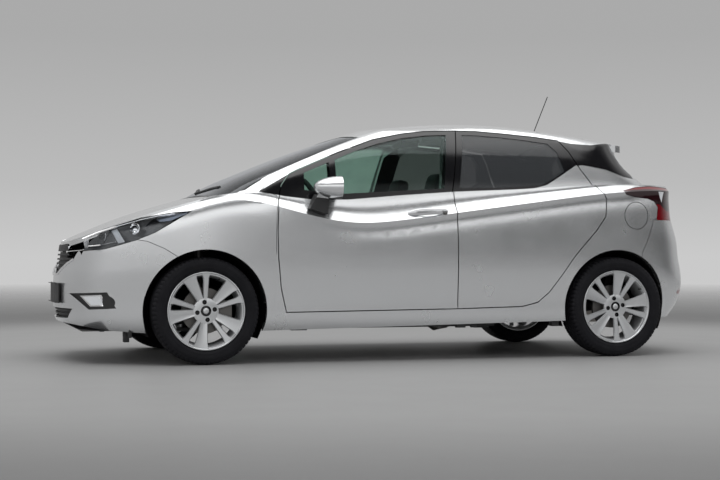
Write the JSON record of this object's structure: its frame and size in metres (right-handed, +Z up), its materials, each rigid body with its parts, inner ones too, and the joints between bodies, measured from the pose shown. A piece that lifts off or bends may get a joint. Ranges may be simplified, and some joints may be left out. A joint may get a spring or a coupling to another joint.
{
  "type": "hatchback car",
  "caption": "Five-door hatchback car with hinged doors, bonnet and tailgate, steered front wheels and rolling wheels.",
  "frame": {"origin": "on the ground under the middle of the car's length and width", "axes": "+X towards the car's left side, -Y towards the front, +Z up"},
  "size_m": [2.024, 3.9867, 1.6681],
  "materials": {
    "paint": "silver metallic lacquer",
    "dark_steel": "dark coated steel",
    "black_trim": "grained black plastic",
    "lamp_clear": "clear lens over dark housing",
    "lamp_red": "red lens",
    "glass": "green-tinted",
    "privacy_glass": "dark tinted",
    "cloth": "dark woven cloth",
    "dash": "soft grained",
    "alloy": "painted silver",
    "tyre": "rubber",
    "iron": "machined iron",
    "engine": "cast",
    "exhaust": "stainless",
    "tank": "moulded black",
    "mirror_cap": "silver metallic lacquer"
  },
  "bodies": {
    "car_body": {"aerial": "black_trim", "body_side_left": "paint", "body_side_right": "paint", "dashboard": "dash", "engine_block": "engine", "exhaust": "exhaust", "floor_pan": "dark_steel", "front_bumper": "paint", "front_lamps": "lamp_clear", "front_seats": "cloth", "front_structure": "dark_steel", "front_subframe": "dark_steel", "front_wings": "paint", "fuel_tank": "tank", "grille": "black_trim", "plate_holder": "black_trim", "rear_axle": "dark_steel", "rear_bumper": "paint", "rear_seat": "cloth", "rear_structure": "dark_steel", "roof_panel": "paint", "scuttle": "black_trim", "tail_lamps": "lamp_red", "windscreen": "glass", "wipers": "black_trim"},
    "front_door_left_body": {"front_door_left": "paint", "front_door_glass_left": "glass", "mirror_left": "mirror_cap"},
    "rear_door_left_body": {"rear_door_left": "paint", "rear_door_glass_left": "privacy_glass"},
    "knuckle_left_body": {"knuckle_left": "iron"},
    "wheel_front_left": {"tyre_front_left": "tyre", "rim_front_left": "alloy", "brake_front_left": "iron"},
    "wheel_rear_left": {"tyre_rear_left": "tyre", "rim_rear_left": "alloy", "brake_rear_left": "iron"},
    "front_door_right_body": {"front_door_right": "paint", "front_door_glass_right": "glass", "mirror_right": "mirror_cap"},
    "rear_door_right_body": {"rear_door_right": "paint", "rear_door_glass_right": "privacy_glass"},
    "knuckle_right_body": {"knuckle_right": "iron"},
    "wheel_front_right": {"tyre_front_right": "tyre", "rim_front_right": "alloy", "brake_front_right": "iron"},
    "wheel_rear_right": {"tyre_rear_right": "tyre", "rim_rear_right": "alloy", "brake_rear_right": "iron"},
    "tailgate_body": {"tailgate": "paint", "tailgate_glass": "privacy_glass", "rear_spoiler": "paint"},
    "bonnet_body": {"bonnet": "paint"},
    "steering_wheel_body": {"steering_wheel": "black_trim"}
  },
  "joints": [
    {"name": "front_door_left_hinge", "type": "hinge", "parent": "car_body", "child": "front_door_left_body", "pos_m": [0.865, -0.795, 0.65], "axis": [0, 0, -1], "range_deg": [0, 65]},
    {"name": "rear_door_left_hinge", "type": "hinge", "parent": "car_body", "child": "rear_door_left_body", "pos_m": [0.865, 0.285, 0.65], "axis": [0, 0, -1], "range_deg": [0, 68]},
    {"name": "front_door_right_hinge", "type": "hinge", "parent": "car_body", "child": "front_door_right_body", "pos_m": [-0.865, -0.795, 0.65], "axis": [0, 0, 1], "range_deg": [0, 65]},
    {"name": "rear_door_right_hinge", "type": "hinge", "parent": "car_body", "child": "rear_door_right_body", "pos_m": [-0.865, 0.285, 0.65], "axis": [0, 0, 1], "range_deg": [0, 68]},
    {"name": "tailgate_hinge", "type": "hinge", "parent": "car_body", "child": "tailgate_body", "pos_m": [0, 1.243, 1.394], "axis": [1, 0, 0], "range_deg": [0, 80]},
    {"name": "bonnet_hinge", "type": "hinge", "parent": "car_body", "child": "bonnet_body", "pos_m": [0, -1.158, 0.975], "axis": [-1, 0, 0], "range_deg": [0, 55]},
    {"name": "steering_left", "type": "hinge", "parent": "car_body", "child": "knuckle_left_body", "pos_m": [0.702, -1.217, 0.186], "axis": [-0.219, 0, 0.9757], "range_deg": [-35, 35]},
    {"name": "steering_right", "type": "hinge", "parent": "car_body", "child": "knuckle_right_body", "pos_m": [-0.702, -1.217, 0.186], "axis": [0.219, 0, 0.9757], "range_deg": [-35, 35]},
    {"name": "steering_wheel_turn", "type": "hinge", "parent": "car_body", "child": "steering_wheel_body", "pos_m": [0.37, -0.48, 0.905], "axis": [0, 0.9135, 0.4067], "range_deg": [-525, 525]},
    {"name": "wheel_front_left_spin", "type": "hinge", "parent": "knuckle_left_body", "child": "wheel_front_left", "pos_m": [0.755, -1.217, 0.302], "axis": [1, 0, 0], "continuous": true},
    {"name": "wheel_rear_left_spin", "type": "hinge", "parent": "car_body", "child": "wheel_rear_left", "pos_m": [0.76, 1.308, 0.302], "axis": [1, 0, 0], "continuous": true},
    {"name": "wheel_front_right_spin", "type": "hinge", "parent": "knuckle_right_body", "child": "wheel_front_right", "pos_m": [-0.755, -1.217, 0.302], "axis": [1, 0, 0], "continuous": true},
    {"name": "wheel_rear_right_spin", "type": "hinge", "parent": "car_body", "child": "wheel_rear_right", "pos_m": [-0.76, 1.308, 0.302], "axis": [1, 0, 0], "continuous": true}
  ],
  "couplings": [
    {"joint": "steering_right", "follows": "steering_left", "ratio": 1},
    {"joint": "steering_wheel_turn", "follows": "steering_left", "ratio": 15}
  ]
}
